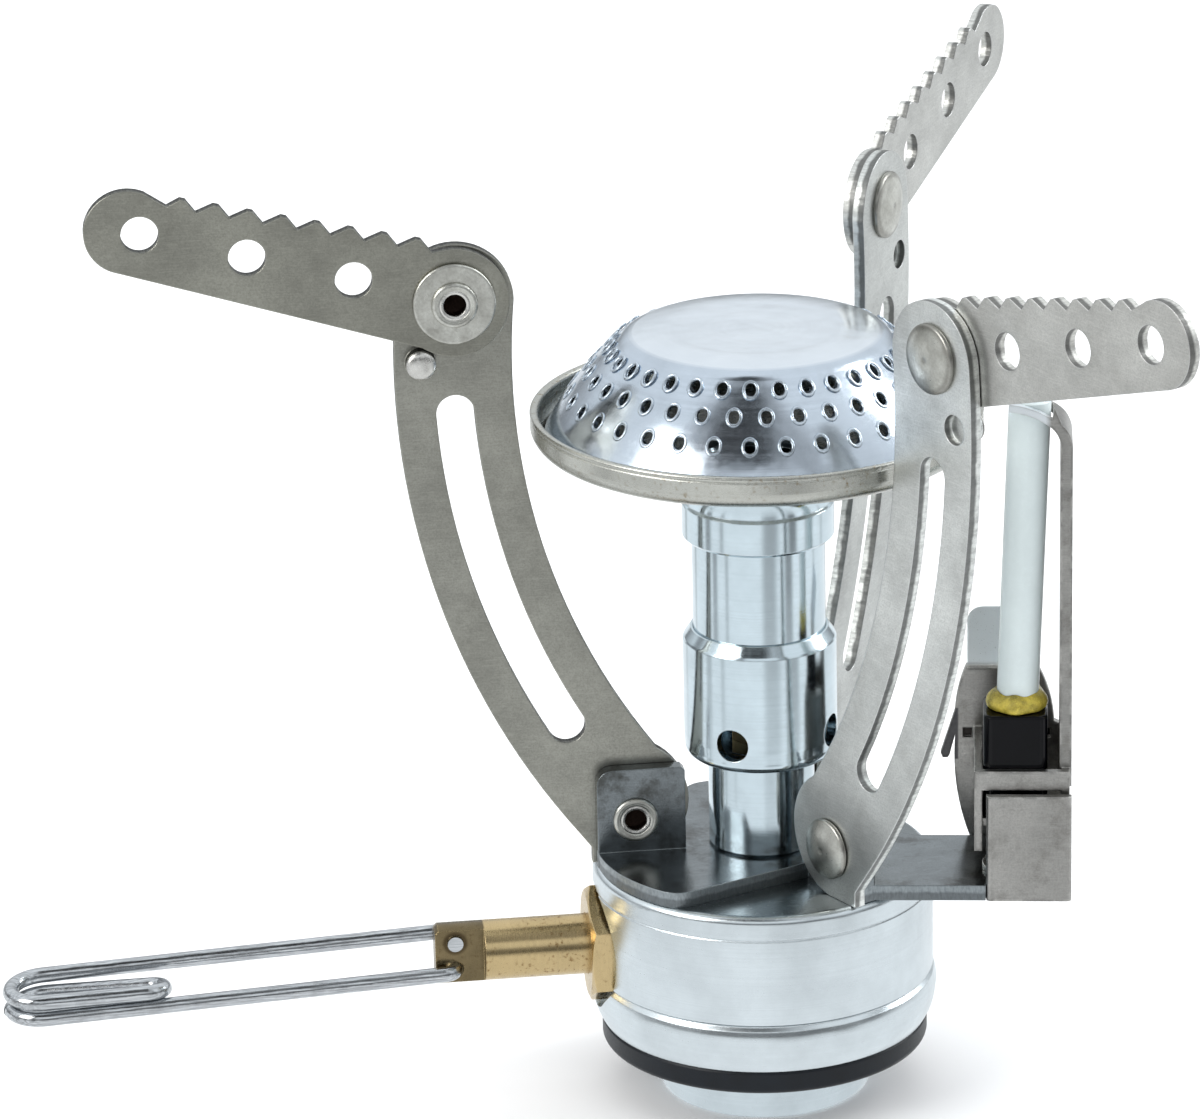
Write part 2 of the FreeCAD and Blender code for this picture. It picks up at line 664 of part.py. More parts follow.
def back_plate():
    """Rounded shield behind the module, with two pressed notches and a thumb tab leaning back."""
    shield = outline(
        (22.4, 23.4),
        ((20.0, 30.5), (19.7, 37.7)),
        ((19.9, 42.0), (20.8, 44.9)),
        (28.0, 44.9),
        ((29.2, 42.0), (29.7, 38.9)),
        (SADDLE_R[1], LIP_Z[1]),
        (SADDLE_R[1], SHELF_Z),
        ((30.3, 28.0), (28.6, 23.4)),
    )
    back = (SADDLE_T[1] - SHEET, SADDLE_T[1])
    sheet = plate(shield, *back)
    notches = [block((r, r + 0.9), (back[0] - 1, back[0] + NOTCH_DEPTH), (37.1, 38.1)) for r in (20.5, 28.4)]
    sheet = sheet.cut(notches)
    tab = block((20.9, 27.8), (0, SHEET), (-0.2, TAB_LENGTH))
    tab = round_edges(tab, 1.6, lambda m, e: abs(m.z - TAB_LENGTH) < 0.01 and abs(m.y - SHEET / 2) < 0.01)
    tab.rotate(Vector(0, 0, 0), Vector(1, 0, 0), -40)
    tab.translate(Vector(0, back[0], 44.75))
    finger = outline((20.5, 40.7), (19.9, 40.8), (18.2, 35.4), (18.4, 34.9), (18.9, 34.9), (19.1, 35.2))
    return sheet.fuse([tab, plate(finger, *back)])


def guard_strip():
    """Strip up the outside of the ceramic tube, forked over its end, with a pointed spur."""
    inner, outer = GUARD_R
    band = outline(
        (inner, LIP_Z[0]),
        (outer, LIP_Z[0]),
        (outer, 71.6),
        ((30.75, 73.65), (29.5, 74.75)),
        (28.0, 75.6),
        ((26.5, 76.1), (25.0, 76.35)),
        (25.0, 75.6),
        ((26.35, 75.35), (27.7, 74.9)),
        (29.0, 74.1),
        ((29.85, 73.1), (inner, 71.5)),
    )
    spur = outline((29.2, 74.4), (30.4, 73.8), (29.5, 76.0))
    half = CERAMIC_R + 0.15
    fork = block((24, 29.4), (MODULE_AXIS[1] - half, MODULE_AXIS[1] + half), (72, 78))
    guard = plate(band, *GUARD_T).fuse(plate(spur, GUARD_T[0], GUARD_T[0] + SHEET / 2))
    return guard.cut(fork)


def make_igniter_saddle():
    """Sliding carrier: shield, two side walls, front lip, shelf for the module, and guard strip."""
    left = (SADDLE_R[0], SADDLE_R[0] + SHEET)
    right = (SADDLE_R[1] - SHEET, SADDLE_R[1])
    back = SADDLE_T[1] - SHEET
    walls = [
        block(left, (SADDLE_T[0], back), (29.8, LIP_Z[1])),
        block(right, (SADDLE_T[0], back), (SHELF_Z - SHEET, LIP_Z[1])),
        block(SADDLE_R, (SADDLE_T[0], SADDLE_T[0] + SHEET), LIP_Z),
        block((left[1], right[0]), (SADDLE_T[0] + SHEET, back), (SHELF_Z - SHEET, SHELF_Z)),
        guard_strip(),
    ]
    saddle = back_plate().fuse(walls)
    post_hole = rod(PLUNGER_R + 0.15, 3, (*MODULE_AXIS, SHELF_Z - 2), (0, 0, 1))
    return igniter_place(saddle.cut(post_hole).removeSplitter())


def make_piezo_module():
    """Moulded block with the plunger's bore from below."""
    block_shape = block(MODULE_R, MODULE_T, (SHELF_Z, MODULE_TOP))
    block_shape = round_edges(block_shape, 0.9, lambda m, e: is_upright(e))
    block_shape = round_edges(block_shape, 0.3, lambda m, e: abs(m.z - MODULE_TOP) < 0.01)
    bore = rod(PLUNGER_R + RUNNING_GAP, 6.5, (*MODULE_AXIS, SHELF_Z), (0, 0, 1))
    return igniter_place(block_shape.cut(bore))


def leaning(shape):
    """Copy of a shape on the Z axis, stood on the module's top with the tube's lean."""
    copy = shape.copy()
    copy.rotate(Vector(0, 0, 0), Vector(0, 1, 0), TUBE_LEAN)
    copy.translate(Vector(TUBE_FOOT, MODULE_AXIS[1], MODULE_TOP + 0.1))
    return igniter_place(copy)


def make_potting_ring():
    """Bead of potting round the foot of the ceramic tube."""
    ring = lathe(
        (CERAMIC_R, 0.02),
        (3.0, 0.02),
        ((3.12, 0.5), (2.9, 1.0)),
        ((2.65, 1.45), (2.35, 1.7)),
        (CERAMIC_R, 1.75),
    )
    return leaning(ring)


def make_ceramic_tube():
    """Glazed ceramic insulator."""
    length = CERAMIC_TOP - MODULE_TOP
    tube = lathe(
        (0.7, 0.02),
        (CERAMIC_R, 0.02),
        (CERAMIC_R, length - 0.25),
        (CERAMIC_R - 0.25, length),
        (0.7, length),
    )
    return leaning(tube)


def make_electrode():
    """Wire electrode, standing just out of the ceramic tube."""
    length = CERAMIC_TOP - MODULE_TOP
    tip = length + 0.6
    return leaning(lathe((0, 0.3), (0.65, 0.3), (0.65, tip - 0.3), (0.4, tip), (0, tip)))


def make_plunger():
    """Fixed striker post that the module slides down on."""
    floor = BODY_TOP + PLATE_THICK
    foot = 3.3
    post = lathe(
        (0, floor),
        (foot, floor),
        (foot, floor + 0.5),
        (PLUNGER_R, floor + 0.5),
        (PLUNGER_R, 36.0),
        (0, 36.0),
    )
    post.translate(Vector(*MODULE_AXIS, 0))
    return igniter_place(post)


def make_return_spring():
    """Coil spring between the post's foot and the saddle's shelf."""
    wire_r = 0.25
    coil_r = PLUNGER_R + 0.65
    low = BODY_TOP + PLATE_THICK + 0.5 + wire_r + 0.02
    high = SHELF_Z - SHEET - wire_r - 0.02
    turns = 5
    helix = Part.makeHelix((high - low) / turns, high - low, coil_r)
    section = Part.Wire(Part.makeCircle(wire_r, Vector(coil_r, 0, 0), Vector(0, 1, 0)))
    spring = Part.Wire(helix.Edges).makePipeShell([section], True, True)
    spring.translate(Vector(*MODULE_AXIS, low))
    return igniter_place(spring)


# ---- every node -----------------------------------------------------------------------------------
def all_nodes():
    """Node names and their solids."""
    nodes = {
        "valve_body": make_valve_body(),
        "thread_collar": make_thread_collar(),
        "base_ring": make_base_ring(),
        "inlet_gasket": make_inlet_gasket(),
        "depressor_pin": make_depressor_pin(),
        "inlet_filter": make_inlet_filter(),
        "gland_nut": make_gland_nut(),
        "spindle": make_spindle(),
        "handle_wire": make_handle_wire(),
        "spindle_seal": make_spindle_seal(),
        "needle": make_needle(),
        "jet_holder": make_jet_holder(),
        "jet": make_jet(),
        "mixing_sleeve": make_mixing_sleeve(),
        "burner_tube": make_burner_tube(),
        "tube_collar": make_tube_collar(),
        "burner_pan": make_burner_pan(),
        "burner_cap": make_burner_cap(),
        "base_bracket": make_base_bracket(),
        "igniter_housing": make_igniter_housing(),
        "igniter_saddle": make_igniter_saddle(),
        "piezo_module": make_piezo_module(),
        "potting_ring": make_potting_ring(),
        "ceramic_tube": make_ceramic_tube(),
        "electrode": make_electrode(),
        "piezo_plunger": make_plunger(),
        "return_spring": make_return_spring(),
    }
    arm_parts = {
        "lower_arm": make_lower_arm(),
        "toothed_arm": make_toothed_arm(),
        "base_rivet": make_rivet(BASE_PIVOT, 3.1, ARM_V[0] - 0.1, TAB_V[1]),
        "pivot_rivet": make_rivet(TOP_PIVOT, 3.45, ARM_V[0], WASHER_V[1]),
        "pivot_washer": make_washer(),
    }
    for number, angle in enumerate(ARM_ANGLES, start=1):
        for name, shape in arm_parts.items():
            nodes[f"{name}_{number}"] = turned(shape, angle)
    return nodes


def as_solid(shape):
    """The shape's solids, without any wrapping compound when there is only one."""
    solids = shape.Solids
    return solids[0] if len(solids) == 1 else Part.makeCompound(solids)


for node_name, node_shape in all_nodes().items():
    solid = as_solid(node_shape)
    solid.exportStep("parts/" + node_name + ".step")
    print(f"{node_name:18s} {len(node_shape.Solids)} solid {solid.Volume:9.2f} mm3 valid {solid.isValid()}")
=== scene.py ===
import math

import bpy
import numpy as np
from mathutils import Matrix, Vector


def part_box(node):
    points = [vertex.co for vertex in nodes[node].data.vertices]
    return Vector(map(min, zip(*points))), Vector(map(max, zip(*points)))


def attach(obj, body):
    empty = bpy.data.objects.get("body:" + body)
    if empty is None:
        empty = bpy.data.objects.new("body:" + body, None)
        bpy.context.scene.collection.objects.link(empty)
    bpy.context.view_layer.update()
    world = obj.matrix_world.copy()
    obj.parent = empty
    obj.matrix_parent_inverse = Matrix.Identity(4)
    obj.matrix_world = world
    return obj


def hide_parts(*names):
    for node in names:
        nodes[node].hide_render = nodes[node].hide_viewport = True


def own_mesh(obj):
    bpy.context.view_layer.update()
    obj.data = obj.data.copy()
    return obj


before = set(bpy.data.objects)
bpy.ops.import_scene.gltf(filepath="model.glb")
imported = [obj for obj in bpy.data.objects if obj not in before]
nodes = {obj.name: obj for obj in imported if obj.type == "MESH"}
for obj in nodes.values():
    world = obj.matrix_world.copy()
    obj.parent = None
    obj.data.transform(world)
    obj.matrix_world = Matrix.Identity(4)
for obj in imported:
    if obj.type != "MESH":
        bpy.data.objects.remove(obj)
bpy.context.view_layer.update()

MM = 0.001

# Places on the stove in millimetres. An arm's own frame has u outwards, v across the arm and z up.
SPINDLE_Z = 16.2
TONGUE_X = -28.8
PIN_X, PIN_Z = -31.85, 17.65
BODY_TOP = 24.9
PLATE_TOP = 26.5
CROWN_Z = 81.0
ARM_ANGLES = {1: 180.0, 2: -61.2, 3: 58.1}
BASE_PIVOT = (13.1, 30.0)
TOP_PIVOT = (30.0, 85.7)
BASE_TAIL_V = 1.3
TOP_TAIL_V = 1.6
RIVET_HOLLOW_R = 1.4
HEAD_V = -1.15
LOWER_ARM_V = (-1.5, -0.3)
TOOTHED_ARM_V = (-0.2, 1.0)
STOP_BOSS = (33.4, 79.4)
IGNITER_ANGLE = -10.0
THUMB_TAB_Z = 45.0
NOTCH_R = (20.5, 28.4)
NOTCH_WIDTH = 0.9
NOTCH_Z = (37.1, 38.1)
FINGER_R = (17.9, 19.9)
FINGER_Z = (34.8, 40.2)

# Edges that turn by more than this stay sharp.
PIECE_SHARP = math.radians(38)
NODE_SHARP = math.radians(32)


# ---- node helpers -----------------------------------------------------------------------------------
class Shader:
    """A material being built, with one Principled surface."""

    def __init__(self, name, **settings):
        self.material = bpy.data.materials.new(name)
        self.material.use_nodes = True
        self.tree = self.material.node_tree
        self.tree.nodes.clear()
        out = self.tree.nodes.new("ShaderNodeOutputMaterial")
        self.surface = self.tree.nodes.new("ShaderNodeBsdfPrincipled")
        self.tree.links.new(self.surface.outputs[0], out.inputs[0])
        for key, value in settings.items():
            self.surface.inputs[key.replace("_", " ")].default_value = value
        self.coord = self.tree.nodes.new("ShaderNodeTexCoord")
        self.place = self.vector("MULTIPLY", self.coord.outputs["Object"], (1000, 1000, 1000))

    def node(self, kind, inputs, output=0, **props):
        n = self.tree.nodes.new(kind)
        for key, value in props.items():
            setattr(n, key, value)
        for key, value in inputs.items():
            if isinstance(value, bpy.types.NodeSocket):
                self.tree.links.new(value, n.inputs[key])
            else:
                n.inputs[key].default_value = value
        return n.outputs[output]

    def vector(self, operation, a, b=(0, 0, 0)):
        output = 1 if operation in ("LENGTH", "DOT_PRODUCT", "DISTANCE") else 0
        return self.node("ShaderNodeVectorMath", {0: a, 1: b}, output, operation=operation)

    def math(self, operation, a, b=0.0):
        return self.node("ShaderNodeMath", {0: a, 1: b}, operation=operation)

    def times(self, a, b):
        return self.math("MULTIPLY", a, b)

    def plus(self, a, b):
        return self.math("ADD", a, b)

    def minus(self, a, b):
        return self.math("SUBTRACT", a, b)

    def split(self, vector):
        n = self.tree.nodes.new("ShaderNodeSeparateXYZ")
        self.tree.links.new(vector, n.inputs[0])
        return n.outputs

    def turned(self, vector, angle, kind):
        """u, v and z of a vector in the frame turned by an angle round the Z axis."""
        inputs = {"Vector": vector, "Rotation": (0, 0, math.radians(-angle))}
        return self.split(self.node("ShaderNodeMapping", inputs, vector_type=kind))

    def join(self, x, y, z):
        return self.node("ShaderNodeCombineXYZ", {0: x, 1: y, 2: z})

    def noise(self, vector, scale, detail=3.0, rough=0.55, output=0):
        inputs = {"Vector": vector, "Scale": scale, "Detail": detail, "Roughness": rough}
        return self.node("ShaderNodeTexNoise", inputs, output)

    def ramp(self, value, low, high, to_low=0.0, to_high=1.0):
        inputs = {"Value": value, "From Min": low, "From Max": high, "To Min": to_low, "To Max": to_high}
        return self.node("ShaderNodeMapRange", inputs)

    def window(self, value, low, high):
        """About 1 between two values and 0 outside them."""
        return self.times(self.ramp(value, low - 0.15, low), self.ramp(value, high + 0.15, high))

    def mix(self, factor, a, b):
        n = self.tree.nodes.new("ShaderNodeMix")
        n.data_type = "RGBA"
        for socket, value in ((n.inputs[0], factor), (n.inputs[6], a), (n.inputs[7], b)):
            if isinstance(value, bpy.types.NodeSocket):
                self.tree.links.new(value, socket)
            else:
                socket.default_value = value
        return n.outputs[2]

    def set(self, **sockets):
        for key, value in sockets.items():
            self.tree.links.new(value, self.surface.inputs[key.replace("_", " ")])

    def bevel(self, radius):
        return self.node("ShaderNodeBevel", {"Radius": radius * MM}, samples=6)

    def bump(self, height, strength, distance, normal=None):
        inputs = {"Height": height, "Strength": strength, "Distance": distance * MM}
        if normal is not None:
            inputs["Normal"] = normal
        return self.node("ShaderNodeBump", inputs)

    def wear(self, rounded, reach=0.12):
        """About 1 on outer edges and 0 on flats, from the difference of two normals."""
        flat = self.node("ShaderNodeNewGeometry", {}, 1)
        same = self.vector("DOT_PRODUCT", rounded, flat)
        return self.ramp(same, 1.0, 1.0 - reach)


# ---- colours and materials --------------------------------------------------------------------------
def tone(r, g, b):
    """Linear colour of 0 to 255 display values."""
    def linear(c):
        c /= 255
        return c / 12.92 if c <= 0.04045 else ((c + 0.055) / 1.055) ** 2.4
    return (linear(r), linear(g), linear(b), 1.0)


def shade(colour, factor):
    """A colour of 0 to 255 display values, made darker or lighter."""
    return tone(*[min(255, c * factor) for c in colour])


def turned_metal(
    name, colour, rough, axis="Z", lines=9.0, depth=0.35, patches=0.04,
    stain=None, waves=0.0, tongue=False, top=None,
):
    """Metal turned on a lathe: fine rings round its axis, uneven gloss and faint stains.
    lines is the fineness of the rings, depth their bump and patches the swing of the gloss.
    waves adds the slow waviness of pressed sheet, and tongue darkens the milled end of the spindle and
    paints shade in the groove round its pin.
    top is (height, colour, share) of painted light on a level face: painted shade on the valve's top face, a
    painted highlight on the cap's crown."""
    s = Shader(name, Metallic=1.0)
    x, y, z = s.split(s.place)
    if axis == "Z":
        radius = s.vector("LENGTH", s.join(x, y, 0.0))
        along = z
    else:
        radius = s.vector("LENGTH", s.join(0.0, y, s.minus(z, SPINDLE_Z)))
        along = x
    rings = s.noise(s.join(s.times(radius, lines), 0.0, s.times(along, lines)), 1.0, 4.0, 0.7)
    cloud = s.noise(s.place, 0.16, 4.0, 0.6)
    speck = s.noise(s.place, 2.2, 3.0, 0.6)
    base = s.mix(s.ramp(cloud, 0.35, 0.7), tone(*colour), shade(colour, 0.93))
    base = s.mix(s.ramp(rings, 0.35, 0.75, 0.0, 0.25), base, shade(colour, 0.86))
    if stain is not None:
        spots = s.times(s.ramp(speck, 0.56, 0.7), s.ramp(cloud, 0.42, 0.6))
        base = s.mix(spots, base, tone(*stain))
    if tongue:
        milled = s.times(s.ramp(x, TONGUE_X, TONGUE_X - 0.15), s.ramp(cloud, 0.2, 0.7, 0.95, 0.6))
        base = s.mix(milled, base, shade(colour, 0.3))
        pin = s.vector("LENGTH", s.join(s.minus(x, PIN_X), 0.0, s.minus(z, PIN_Z)))
        # Painted shade: a dark ring in the groove round the pin.
        groove = s.times(s.ramp(pin, 1.4, 1.1), milled)
        base = s.mix(groove, base, tone(62, 50, 34))
    # Painted light: level faces at the given height take another colour, for the shade or reflection on
    # them.
    if top is not None:
        height, painted_top_colour, share = top
        facing = s.split(s.coord.outputs["Normal"])[2]
        upward = s.times(s.ramp(facing, 0.93, 0.99), s.ramp(z, height - 0.6, height - 0.2))
        base = s.mix(s.times(upward, s.ramp(cloud, 0.25, 0.65, share, share * 0.8)), base, tone(*painted_top_colour))
    edge = s.bevel(0.16)
    base = s.mix(s.times(s.wear(edge), 0.4), base, shade(colour, 1.18))
    ring_gloss = s.ramp(rings, 0.3, 0.7, rough - patches, rough + patches)
    gloss = s.plus(ring_gloss, s.ramp(speck, 0.4, 0.7, 0.0, patches))
    normal = s.bump(rings, depth, 0.02, edge)
    if waves:
        normal = s.bump(s.noise(s.place, 0.22, 2.0, 0.5), waves, 1.0, normal)
    s.set(Base_Color=base, Roughness=gloss, Normal=normal)
    s.surface.inputs["Anisotropic"].default_value = 0.45
    return s.material


def sheet_metal(name, angle, colour, rough, cut=None, bands=(1.1, 0.6), mottle=0.1, igniter=False):
    """Stamped sheet: tumbled grain on the flats, and a burnished and a torn band on its sheared edges.
    cut is the sheet's thickness axis, in a frame turned by angle, with the heights of its two faces.
    bands are the brightness of the burnished and the torn band against the flats.
    igniter paints a highlight on the thumb tab and shade in each notch, and adds the dark finger of the
    igniter's shield."""
    s = Shader(name, Metallic=1.0)
    u, v, z = s.turned(s.place, angle, "POINT")
    _, nv, nz = s.turned(s.coord.outputs["Normal"], angle, "NORMAL")
    cloud = s.noise(s.place, 0.13, 4.0, 0.6)
    fine = s.noise(s.place, 5.5, 4.0, 0.7)
    wobble = s.noise(s.place, 0.7, 2.0)
    rolled = s.noise(s.join(s.times(u, 0.5), v, s.times(z, 6.0)), 1.2, 3.0, 0.6)
    base = s.mix(s.ramp(cloud, 0.33, 0.7), tone(*colour), shade(colour, 0.84))
    base = s.mix(s.ramp(fine, 0.4, 0.75, 0.0, 0.55), base, shade(colour, 0.72))
    base = s.mix(s.ramp(rolled, 0.5, 0.8, 0.0, 0.35), base, shade(colour, 1.1))
    stain = s.times(s.ramp(s.noise(s.place, 0.25, 5.0, 0.7), 0.5, 0.66), mottle)
    base = s.mix(stain, base, tone(colour[0] * 0.5, colour[1] * 0.48, colour[2] * 0.45))
    edge = s.bevel(0.2)
    if cut is None:
        on_edge = s.times(s.wear(s.bevel(0.5), 0.05), 0.8)
        torn = s.ramp(wobble, 0.4, 0.55)
    else:
        axis, low, high = cut
        along, normal = (v, nv) if axis == "v" else (z, nz)
        on_edge = s.ramp(s.math("ABSOLUTE", normal), 0.75, 0.45)
        if axis == "z":
            on_edge = s.times(on_edge, s.ramp(z, high + 0.02, high - 0.02))
        middle = low + 0.55 * (high - low)
        shifted = s.plus(along, s.times(s.minus(wobble, 0.5), 0.5))
        torn = s.ramp(shifted, middle + 0.1, middle - 0.15)
    ribs = s.noise(s.join(s.times(u, 5.0), s.times(v, 0.7), s.times(z, 1.5)), 1.0, 3.0, 0.7)
    cut_colour = s.mix(torn, shade(colour, bands[0]), shade(colour, bands[1]))
    cut_colour = s.mix(s.ramp(ribs, 0.4, 0.65, 0.0, 0.35), cut_colour, shade(colour, bands[1] * 0.8))
    base = s.mix(on_edge, base, cut_colour)
    if igniter:
        # Painted highlight: the thumb tab painted near white, for the bright reflection on it.
        tab = s.times(s.ramp(z, THUMB_TAB_Z - 0.2, THUMB_TAB_Z + 0.2), s.ramp(u, 29.2, 28.6))
        base = s.mix(s.times(tab, 0.92), base, tone(240, 246, 250))
        # Painted shade: the sheet at each notch painted dark.
        notch_shade = s.plus(*[s.window(u, start, start + NOTCH_WIDTH) for start in NOTCH_R])
        notch_shade = s.times(s.times(notch_shade, s.window(z, *NOTCH_Z)), s.ramp(v, 1.0, 1.2))
        base = s.mix(notch_shade, base, tone(52, 49, 47))
        finger = s.times(s.window(u, *FINGER_R), s.window(z, *FINGER_Z))
        base = s.mix(s.times(finger, 0.85), base, tone(66, 66, 70))
    base = s.mix(s.times(s.wear(edge, 0.25), 0.5), base, shade(colour, 1.3))
    flat_gloss = s.ramp(fine, 0.3, 0.7, rough - 0.06, rough + 0.08)
    edge_gloss = s.ramp(ribs, 0.3, 0.7, 0.3, 0.55)
    plain_part = s.minus(1.0, on_edge)
    gloss = s.plus(s.times(edge_gloss, on_edge), s.times(flat_gloss, plain_part))
    torn_height = s.times(s.times(ribs, on_edge), s.ramp(torn, 0.0, 1.0, 0.3, 1.0))
    normal = s.bump(s.plus(s.times(fine, 0.25), torn_height), 0.5, 0.08, edge)
    normal = s.bump(s.noise(s.place, 0.09, 2.0), 0.25, 0.9, normal)
    s.set(Base_Color=base, Roughness=gloss, Normal=normal)
    return s.material


def plain(name, colour, rough, metallic=0.0, mottle=0.12, scale=1.2, bump=0.2, **settings):
    """Moulded, glazed or cast surface with a light mottle."""
    s = Shader(name, Metallic=metallic, **settings)
    cloud = s.noise(s.place, scale * 0.3, 4.0, 0.6)
    fine = s.noise(s.place, scale * 4, 4.0, 0.65)
    base = s.mix(s.ramp(cloud, 0.35, 0.7), tone(*colour), shade(colour, 1 - mottle))
    base = s.mix(s.ramp(fine, 0.5, 0.8, 0.0, 0.4), base, shade(colour, 1 + mottle))
    s.set(
        Base_Color=base,
        Roughness=s.ramp(fine, 0.3, 0.7, rough - 0.05, rough + 0.07),
        Normal=s.bump(fine, bump, 0.05, s.bevel(0.15)),
    )
    return s.material


def drawn_wire(name, colour, rough):
    """Wire drawn through a die: long scratches along X and dull patches."""
    s = Shader(name, Metallic=1.0)
    x, y, z = s.split(s.place)
    lines = s.noise(s.join(s.times(x, 0.25), s.times(y, 6.0), s.times(z, 6.0)), 1.0, 3.0, 0.6)
    cloud = s.noise(s.place, 0.35, 4.0, 0.6)
    base = s.mix(s.ramp(lines, 0.35, 0.7), tone(*colour), shade(colour, 0.78))
    base = s.mix(s.ramp(cloud, 0.5, 0.75, 0.0, 0.5), base, shade(colour, 0.7))
    s.set(
        Base_Color=base,
        Roughness=s.ramp(cloud, 0.3, 0.7, rough - 0.05, rough + 0.1),
        Normal=s.bump(lines, 0.3, 0.05),
    )
    return s.material


# Painted shade: the valve's top face painted dark, for the shade and dark reflection on it.
body_top_shade = (BODY_TOP, (84, 90, 91), 0.9)
aluminium = turned_metal(
    "aluminium", (222, 230, 234), 0.25, lines=7.0, depth=0.07, patches=0.02, top=body_top_shade
)
plated = turned_metal("plated_turned", (212, 226, 233), 0.11, lines=6.0, depth=0.14, patches=0.04)
nose_metal = turned_metal("nose_plating", (205, 215, 220), 0.24, lines=4.0, depth=0.1, patches=0.03)
# Painted highlight: the cap's level crown painted lighter.
crown = (CROWN_Z, (232, 238, 244), 0.95)
cap_metal = turned_metal("cap_plating", (202, 212, 223), 0.16, lines=2.5, depth=0.08, waves=0.08, top=crown)
pan_metal = turned_metal(
    "pan_steel", (198, 198, 191), 0.26, lines=10.0, depth=0.5, patches=0.06, stain=(140, 124, 98)
)
BRASS = {"axis": "X", "lines": 4.0, "depth": 0.3, "patches": 0.05, "stain": (130, 98, 58)}
brass_x = turned_metal("brass_turned", (208, 184, 138), 0.24, **BRASS)
spindle_brass = turned_metal("brass_spindle", (208, 184, 138), 0.24, tongue=True, **BRASS)
brass_z = turned_metal("brass", (182, 156, 106), 0.3, lines=5.0, depth=0.4, stain=(112, 84, 46))
rivet_metal = plain("rivet_steel", (226, 224, 219), 0.28, metallic=1.0, mottle=0.16, scale=1.0, bump=0.35)
plate_cut = ("z", BODY_TOP, PLATE_TOP)
dark_sheet = sheet_metal("gunmetal_sheet", 0.0, (134, 140, 143), 0.18, plate_cut, (1.2, 0.92), 0.8)
igniter_sheet = sheet_metal(
    "gunmetal_igniter", IGNITER_ANGLE, (184, 182, 178), 0.32, bands=(1.1, 0.7), mottle=0.35, igniter=True
)
wire_metal = drawn_wire("drawn_wire", (206, 209, 212), 0.15)
rubber = plain("rubber", (13, 20, 28), 0.4, mottle=0.3, scale=1.0, bump=0.2, Specular_IOR_Level=0.3)
module_plastic = plain("module_plastic", (5, 5, 9), 0.16, mottle=0.4, bump=0.1, Specular_IOR_Level=0.2)
ceramic = plain("ceramic_glaze", (208, 219, 220), 0.18, mottle=0.03, scale=0.5, bump=0.05)
potting = plain("potting_resin", (196, 176, 70), 0.16, mottle=0.5, scale=2.2, bump=0.9)
sintered = plain("sintered", (150, 118, 84), 0.6, metallic=1.0, mottle=0.3, scale=3.0, bump=0.8)


def rivet_steel(name, angle, pivot):
    """Rivet steel round one pivot: painted shade in the hollow of the rolled end, and a painted shadow ring
    and painted shade in the dimple on the head.
    """
    s = Shader(name, Metallic=1.0)
    u, v, z = s.turned(s.place, angle, "POINT")
    du, dz = s.minus(u, pivot[0]), s.minus(z, pivot[1])
    radius = s.vector("LENGTH", s.join(du, dz, 0.0))
    fine = s.noise(s.place, 4.0, 4.0, 0.65)
    cloud = s.noise(s.place, 0.5, 3.0, 0.6)
    rings = s.noise(s.join(s.times(radius, 6.0), v, 0.0), 1.0, 3.0)
    base = s.mix(s.ramp(cloud, 0.35, 0.7), tone(210, 210, 203), tone(176, 175, 168))
    base = s.mix(s.ramp(fine, 0.45, 0.75, 0.0, 0.3), base, tone(150, 146, 138))
    rolled = s.ramp(v, HEAD_V - 0.15, HEAD_V)
    # Painted shade: the hollow of the rolled end painted dark.
    hollow = s.times(s.ramp(radius, RIVET_HOLLOW_R + 0.1, RIVET_HOLLOW_R), rolled)
    base = s.mix(hollow, base, tone(74, 60, 54))
    # Painted shade: the dimple in the head painted darker.
    dimple = s.times(s.ramp(radius, 0.45, 0.2), s.minus(1.0, rolled))
    base = s.mix(s.times(dimple, 0.5), base, tone(120, 118, 114))
    # Painted shadow: a dark contact shadow ring round the head.
    contact_shadow = s.times(s.ramp(radius, 2.75, 3.1), s.minus(1.0, rolled))
    base = s.mix(s.times(contact_shadow, 0.5), base, tone(110, 106, 100))
    gloss = s.plus(s.ramp(fine, 0.3, 0.7, 0.26, 0.38), s.times(hollow, 0.4))
    height = s.plus(s.times(rings, 0.3), s.minus(s.times(fine, 0.5), dimple))
    s.set(Base_Color=base, Roughness=gloss, Normal=s.bump(height, 0.35, 0.06, s.bevel(0.15)))
    return s.material


# Painted light and shade: the arms share one steel, in lit and shaded copies, with arm 1 darker and arms 2
# and 3 lighter.
LOWER_LIT_AND_SHADED_TONES = {1: (172, 171, 162), 2: (232, 234, 231), 3: (214, 216, 213)}
TOOTHED_LIT_AND_SHADED_TONES = {1: (163, 162, 152), 2: (214, 213, 208), 3: (214, 214, 210)}
lower_steel, toothed_steel = {}, {}
for k, angle in ARM_ANGLES.items():
    # Painted shade: darker edge bands on arm 1.
    bands = (0.62, 0.32) if k == 1 else (1.06, 0.6)
    lower_cut, toothed_cut = ("v", *LOWER_ARM_V), ("v", *TOOTHED_ARM_V)
    lower_steel[k] = sheet_metal(f"lower_arm_steel_{k}", angle, LOWER_LIT_AND_SHADED_TONES[k], 0.34, lower_cut, bands)
    toothed_steel[k] = sheet_metal(
        f"toothed_arm_steel_{k}", angle, TOOTHED_LIT_AND_SHADED_TONES[k], 0.34, toothed_cut, bands
    )

